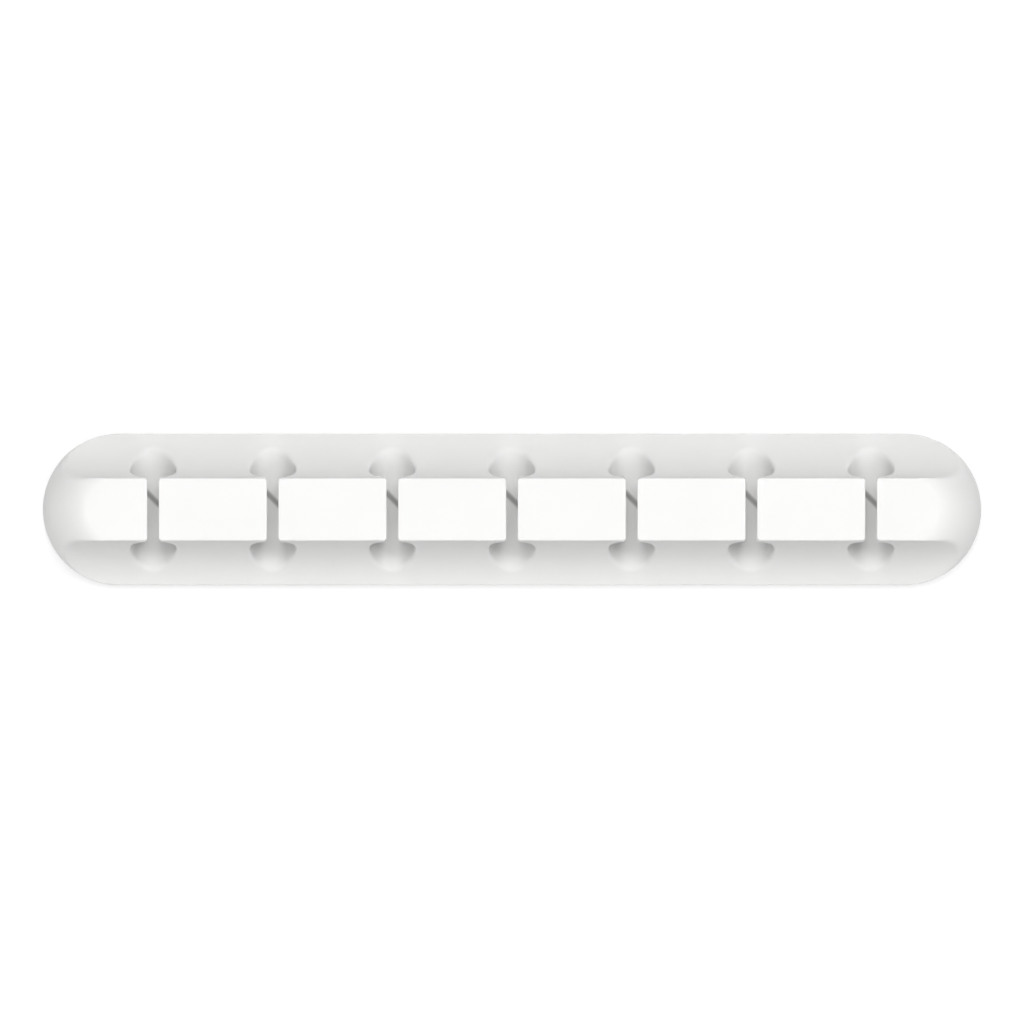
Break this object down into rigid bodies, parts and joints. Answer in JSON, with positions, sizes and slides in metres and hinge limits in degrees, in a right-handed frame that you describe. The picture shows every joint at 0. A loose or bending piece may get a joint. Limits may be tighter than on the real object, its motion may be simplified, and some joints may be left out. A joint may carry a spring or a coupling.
{
  "type": "adhesive cable clip",
  "caption": "Low white rubber strip with rounded ends, hollow flanks and a row of slit cable channels across it, on a foam tape pad.",
  "frame": {"origin": "middle of the foam tape's sticky face, which is the middle of the part's base", "axes": "+X along the strip, +Y across it, the way the cables run, and +Z away from the surface that it is stuck to"},
  "size_m": [0.124, 0.02, 0.01],
  "materials": {
    "soft_rubber": "white, satin, as moulded",
    "foam_tape": "pale grey closed-cell foam, matt"
  },
  "bodies": {
    "root": {"clip_body": "soft_rubber", "adhesive_pad": "foam_tape"}
  },
  "joints": []
}
